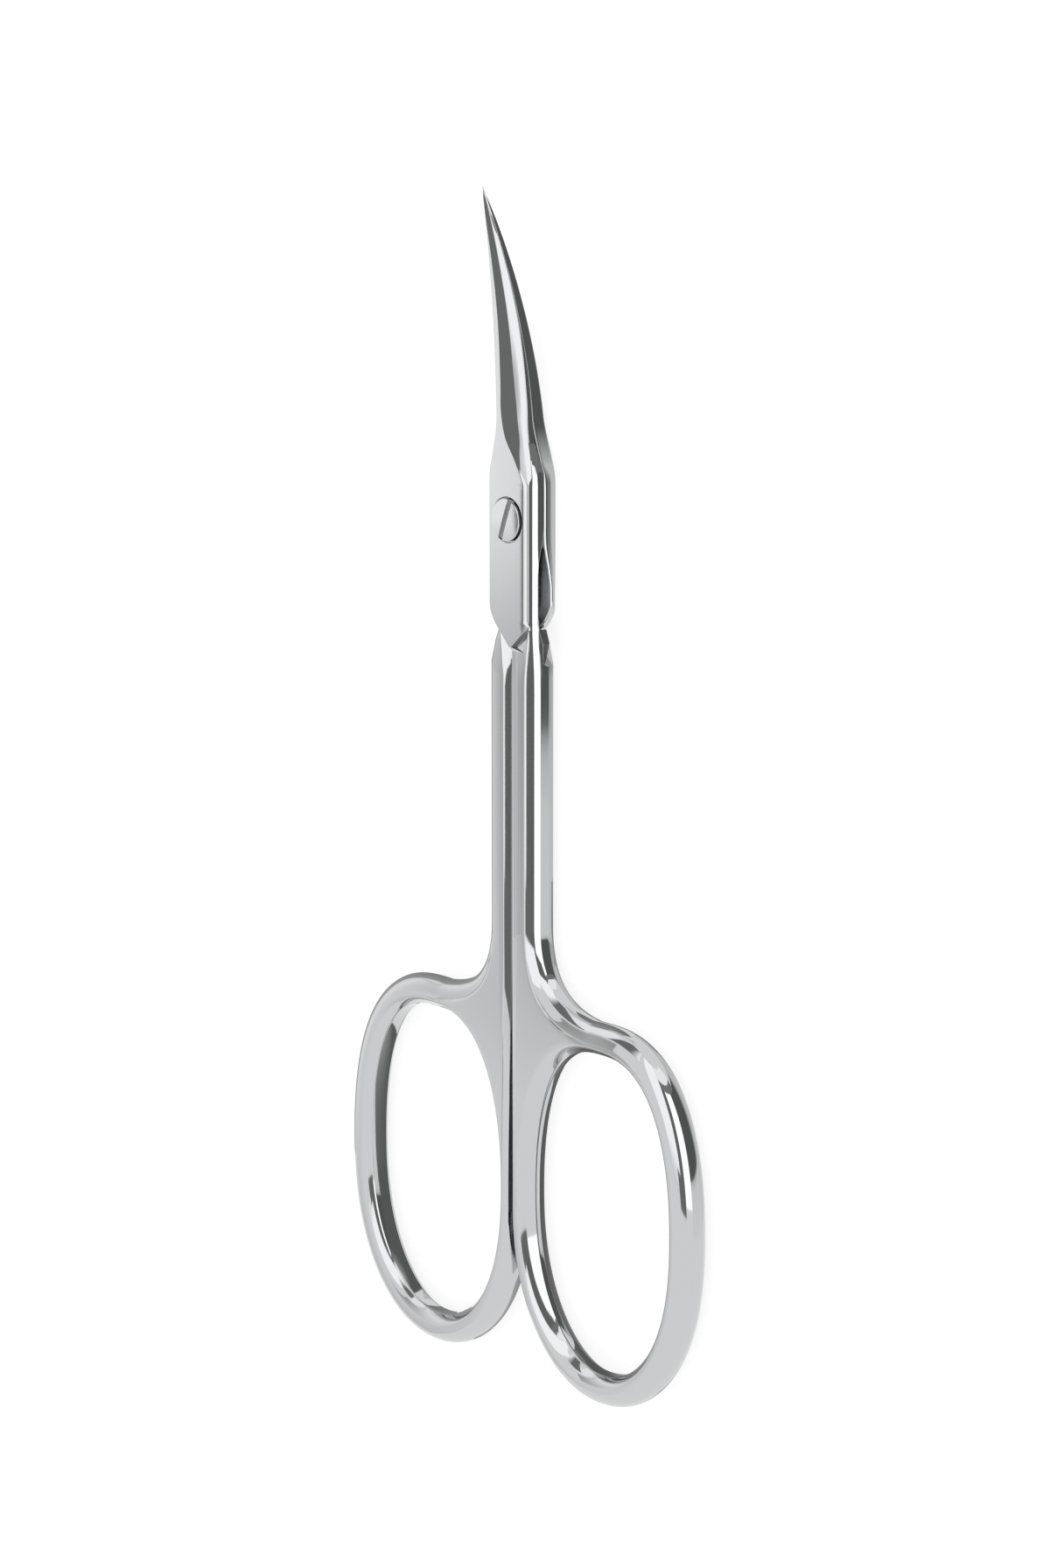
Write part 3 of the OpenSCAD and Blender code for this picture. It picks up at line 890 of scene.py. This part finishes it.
slot_cutter = bpy.data.objects.new("slot_cutter", bpy.data.meshes.new("slot_cutter"))
scene.collection.objects.link(slot_cutter)
work = bmesh.new()
slot_floor = head_top - slot_depth
lip_x = slot_w / 2 + slot_lip * 3
lip_top = head_top + 2 * slot_lip
outline = [(-slot_w / 2, slot_floor), (slot_w / 2, slot_floor), (slot_w / 2, head_top - slot_lip),
           (lip_x, lip_top), (-lip_x, lip_top), (-slot_w / 2, head_top - slot_lip)]
ends = [[work.verts.new((x * mm, y * mm, z * mm)) for x, z in outline] for y in (-head_d, head_d)]
work.faces.new(ends[0])
work.faces.new(ends[1][::-1])
for i in range(len(outline)):
    n = (i + 1) % len(outline)
    work.faces.new((ends[0][n], ends[0][i], ends[1][i], ends[1][n]))
bmesh.ops.recalc_face_normals(work, faces=work.faces)
bmesh.ops.rotate(work, verts=work.verts, cent=(0, 0, 0), matrix=Matrix.Rotation(-slot_turn, 3, "Z"))
work.to_mesh(slot_cutter.data)
work.free()
cut(pivot_screw, slot_cutter)

# The head is buffed and the slot is dull from its milling; the head's side in its seat takes the dark
# steel, a painted shade.
screw_steel = steel_material(
    "screw_steel", light=(0.62, 0.625, 0.63, 1), dark=(0.57, 0.575, 0.58, 1), smoothest=0.1,
    roughest=0.16, grain_scale=(3000, 3000, 3000), grain_depth=2e-7, wave_depth=2e-6)
slot_steel = steel_material(
    "slot_steel", light=(0.62, 0.62, 0.625, 1), dark=(0.5, 0.5, 0.505, 1), smoothest=0.45,
    roughest=0.6, grain_scale=(3000, 3000, 3000), grain_depth=1e-6, wave_depth=2e-6)
screw_steels = (screw_steel, slot_steel, painted_shade_steel)
for steel in screw_steels:
    pivot_screw.data.materials.append(steel)
for face in pivot_screw.data.polygons:
    x, y, z = (c / mm for c in face.center)
    skin_z = head_top - dome_r + math.sqrt(max(dome_r ** 2 - x * x - y * y, 0))
    above_seat = z > seat_z + 2 * half_gap
    if above_seat and z < skin_z - 2 * slot_lip and math.hypot(x, y) < top_r - slot_lip:
        face.material_index = screw_steels.index(slot_steel)
    # Painted shade: the head's side below the rim takes the dark steel.
    elif z < rim_z - rim_fall and math.hypot(x, y) > head_r - rim_round:
        face.material_index = screw_steels.index(painted_shade_steel)
finish_mesh(pivot_screw, cut_sharp)
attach(pivot_screw, "rear")
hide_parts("pivot_screw")


# Studio
# A white floor, an even white room, and the dark, grey and bright cards that a photographer puts
# round polished steel. The cards show only in reflections.
def card(name, radius, from_angle, to_angle, rows, steps=24):
    """A card bent about the Y axis, with angles from +Z towards +X. Each row is a height along Y
    with the card's brightness at its first and at its last angle."""
    points, levels, faces = [], [], []
    for y, first, last in rows:
        for i in range(steps + 1):
            a = math.radians(mix(from_angle, to_angle, i / steps))
            points.append((radius * math.sin(a) * mm, y * mm, radius * math.cos(a) * mm))
            levels.append(mix(first, last, i / steps))
    for n in range(len(rows) - 1):
        for i in range(steps):
            k = n * (steps + 1) + i
            faces.append((k, k + 1, k + steps + 2, k + steps + 1))
    mesh = bpy.data.meshes.new(name)
    mesh.from_pydata(points, [], faces)
    mesh.attributes.new("level", "FLOAT", "POINT").data.foreach_set("value", levels)
    obj = bpy.data.objects.new(name, mesh)
    scene.collection.objects.link(obj)
    mesh.materials.append(card_light)
    obj.visible_camera = False
    obj.visible_diffuse = False
    obj.visible_shadow = False


card_light = bpy.data.materials.new("card_light")
card_light.use_nodes = True
nodes, links = card_light.node_tree.nodes, card_light.node_tree.links
nodes.remove(nodes["Principled BSDF"])
brightness = nodes.new("ShaderNodeAttribute")
brightness.attribute_name = "level"
glow = nodes.new("ShaderNodeEmission")
links.new(brightness.outputs["Fac"], glow.inputs["Strength"])
links.new(glow.outputs["Emission"], nodes["Material Output"].inputs["Surface"])

# On the left: graded greys that the flat faces mirror
card("left_card", 40, -78, -27,
     [(-90, 0.74, 0.98), (-64, 0.78, 1), (-54, 0.98, 0.96), (-46, 1.15, 0.6), (-18, 1.15, 0.4),
      (-16, 0.85, 0.7), (-5, 1.25, 1.25), (30, 1.25, 1.25)])
card("low_left_card", 100, -130, -88, [(-76, 0.3, 0.5), (140, 0.2, 0.5)])

# Close above the plate and blades: dark, fading to bright towards the camera
card("near_dark_card", 30, -38, -6, [(-14, 0.22, 0.22), (60, 0.22, 0.22)])
card("near_faded_card", 30, -6, 14, [(-14, 0.22, 1.4), (60, 0.22, 1.4)])

# Round the camera: bright and dark strips for the bevels and rails
card("front_bright_card", 100, 5, 43, [(-62, 0.9, 0.9), (-40, 1.45, 1.45), (200, 1.45, 1.45)])
card("dark_strip", 100, 43, 59, [(-65, 0.18, 0.18), (46, 0.18, 0.18)])
card("dark_strip_foot", 98, 30, 57, [(-65, 0.2, 0.2), (-48, 0.2, 0.2)])
card("bright_strip", 100, 59, 89, [(-60, 1.7, 1.7), (46, 1.7, 1.7)])

# Beyond the tips
card("far_dark_card", 100, 44, 125, [(46, 0.25, 0.25), (75, 0.25, 0.25)])
card("far_bright_card", 100, 44, 125, [(75, 1.3, 1.3), (200, 1.3, 1.3)])

# Low on the right: dark for the blades and the plate, bright for the shanks and rings
card("right_dark_card", 160, 90, 144,
     [(-90, 0.95, 0.95), (-54, 0.9, 0.9), (-47, 0.7, 0.7), (-44, 0.13, 0.13), (110, 0.13, 0.13)])
card("right_faded_card", 160, 144, 162,
     [(-90, 0.95, 0.9), (-54, 0.9, 0.8), (-47, 0.7, 0.75), (-44, 0.13, 0.75), (110, 0.13, 0.75)])
card("right_edge_card", 160, 162, 215, [(-90, 0.9, 0.9), (-54, 0.8, 0.8), (110, 0.75, 0.75)])

# Close below the rings, for the walls inside them
card("foot_dark_card", 15.5, 151, 245,
     [(-80, 0.6, 0.6), (-63, 0.3, 0.3), (-56, 0.15, 0.15), (-40, 0.15, 0.15), (-30, 0.5, 0.5)])

floor_mesh = bpy.data.meshes.new("floor")
floor_size = 3000 * mm
floor_z = -0.02 * mm
floor_mesh.from_pydata([(-floor_size, -floor_size, floor_z), (floor_size, -floor_size, floor_z),
                        (floor_size, floor_size, floor_z), (-floor_size, floor_size, floor_z)],
                       [], [(0, 1, 2, 3)])
floor = bpy.data.objects.new("floor", floor_mesh)
scene.collection.objects.link(floor)
floor_paint = bpy.data.materials.new("floor_paint")
floor_paint.use_nodes = True
nodes, links = floor_paint.node_tree.nodes, floor_paint.node_tree.links
matt = nodes["Principled BSDF"]
matt.inputs["Base Color"].default_value = (0.3, 0.3, 0.3, 1)
matt.inputs["Roughness"].default_value = 1.0
matt.inputs["Specular IOR Level"].default_value = 0.0
glow = nodes.new("ShaderNodeEmission")
glow.inputs["Strength"].default_value = 0.8
both = nodes.new("ShaderNodeAddShader")
links.new(matt.outputs["BSDF"], both.inputs[0])
links.new(glow.outputs["Emission"], both.inputs[1])
links.new(both.outputs["Shader"], nodes["Material Output"].inputs["Surface"])
floor_mesh.materials.append(floor_paint)
floor.visible_glossy = False

room = bpy.data.worlds.new("room")
room.use_nodes = True
nodes, links = room.node_tree.nodes, room.node_tree.links
path = nodes.new("ShaderNodeLightPath")
shade = nodes.new("ShaderNodeMix")
shade.data_type = "RGBA"
shade.inputs["A"].default_value = (0.95, 0.95, 0.95, 1)
shade.inputs["B"].default_value = (1, 1, 1, 1)
sees = nodes.new("ShaderNodeMath")
sees.operation = "MAXIMUM"
links.new(path.outputs["Is Camera Ray"], sees.inputs[0])
links.new(path.outputs["Is Glossy Ray"], sees.inputs[1])
links.new(sees.outputs["Value"], shade.inputs["Factor"])
links.new(shade.outputs["Result"], nodes["Background"].inputs["Color"])
scene.world = room

scene.view_settings.view_transform = "Standard"
